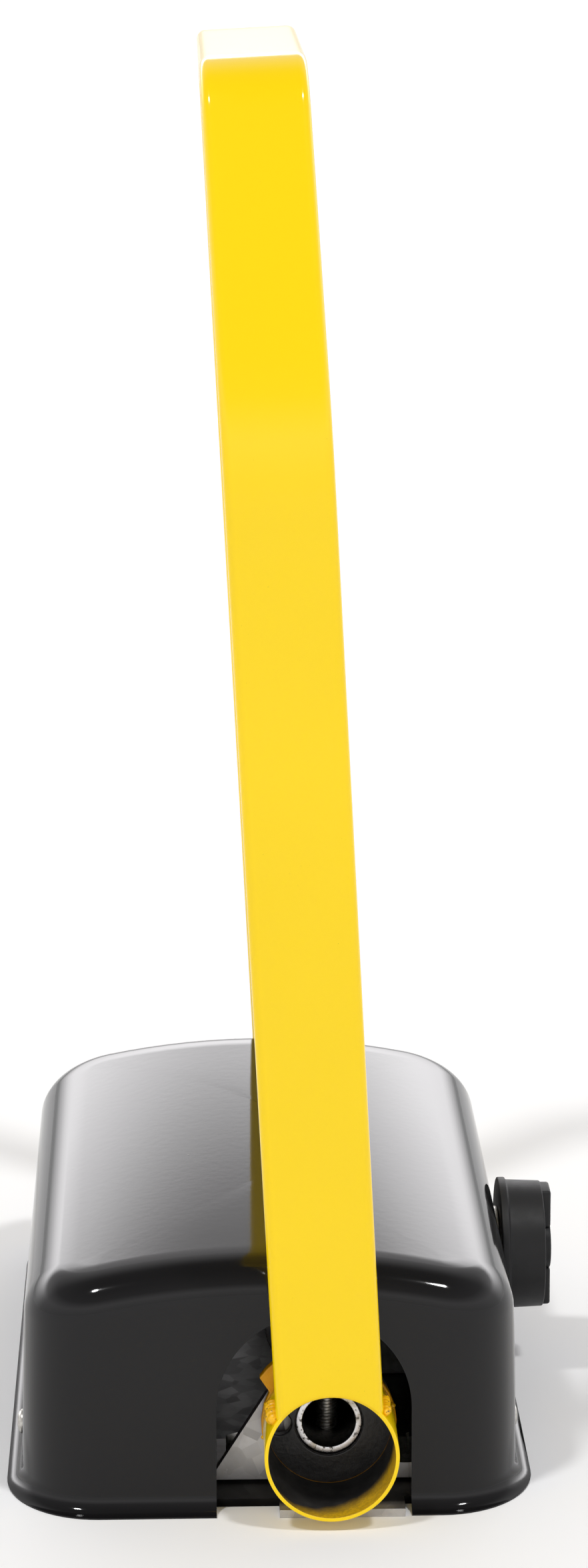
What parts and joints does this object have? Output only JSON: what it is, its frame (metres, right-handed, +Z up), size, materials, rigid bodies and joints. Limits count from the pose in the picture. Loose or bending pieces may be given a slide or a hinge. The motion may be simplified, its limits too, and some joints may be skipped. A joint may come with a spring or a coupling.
{
  "type": "parking space barrier",
  "caption": "Fold-down parking-space barrier: a yellow tube hoop on a pivot shaft over a low black cover with a side lock knob.",
  "frame": {"origin": "on the ground, under the middle of the base plate", "axes": "+X towards the knob, +Y along the pivot shaft away from the front end, +Z up"},
  "size_m": [0.2166, 0.3086, 0.544],
  "materials": {
    "yellow_paint": "gloss powder coat",
    "black_paint": "high gloss",
    "zinc_plate": "galvanised",
    "bolt_steel": "zinc plated",
    "black_plastic": "matte",
    "nylon": "satin",
    "brass": "satin"
  },
  "bodies": {
    "base": {"base_plate": "zinc_plate", "front_bracket": "zinc_plate", "rear_bracket": "zinc_plate", "front_bushing": "nylon", "rear_bushing": "nylon", "bracket_bolt_1": "bolt_steel", "bracket_bolt_2": "bolt_steel", "bracket_bolt_3": "bolt_steel", "bracket_bolt_4": "bolt_steel", "cover": "black_paint", "cover_screw_1": "bolt_steel", "cover_screw_2": "bolt_steel", "cover_screw_3": "bolt_steel", "cover_screw_4": "bolt_steel", "lock_housing": "zinc_plate", "housing_screw_1": "bolt_steel", "housing_screw_2": "bolt_steel", "lock_barrel": "bolt_steel", "barrel_nut": "bolt_steel"},
    "arm": {"arm_hoop": "yellow_paint", "front_collar": "yellow_paint", "rear_collar": "yellow_paint", "front_drive_plate": "yellow_paint", "rear_drive_plate": "yellow_paint", "pivot_shaft": "zinc_plate", "lock_plate": "zinc_plate", "front_retaining_ring": "zinc_plate", "rear_retaining_ring": "zinc_plate", "front_cross_bolt": "bolt_steel", "rear_cross_bolt": "bolt_steel", "front_cross_nut": "bolt_steel", "rear_cross_nut": "bolt_steel"},
    "bolt": {"lock_bolt": "bolt_steel"},
    "knob": {"knob": "black_plastic", "spindle": "bolt_steel", "crank": "bolt_steel"},
    "plug": {"key_plug": "brass"}
  },
  "joints": [
    {"name": "arm_fold", "type": "hinge", "parent": "base", "child": "arm", "pos_m": [0.022, 0, 0.029], "axis": [0, 1, 0], "range_deg": [-86, 0]},
    {"name": "knob_turn", "type": "hinge", "parent": "base", "child": "knob", "pos_m": [0.1, 0, 0.05], "axis": [1, 0, 0], "range_deg": [0, 90]},
    {"name": "lock_bolt_slide", "type": "slide", "parent": "base", "child": "bolt", "axis": [0, -1, 0], "range_m": [0, 0.01135]},
    {"name": "key_turn", "type": "hinge", "parent": "knob", "child": "plug", "pos_m": [0.1, 0, 0.05], "axis": [1, 0, 0], "range_deg": [0, 90]}
  ],
  "couplings": [
    {"joint": "lock_bolt_slide", "follows": "knob_turn", "m_per_rad": 0.0072025}
  ]
}
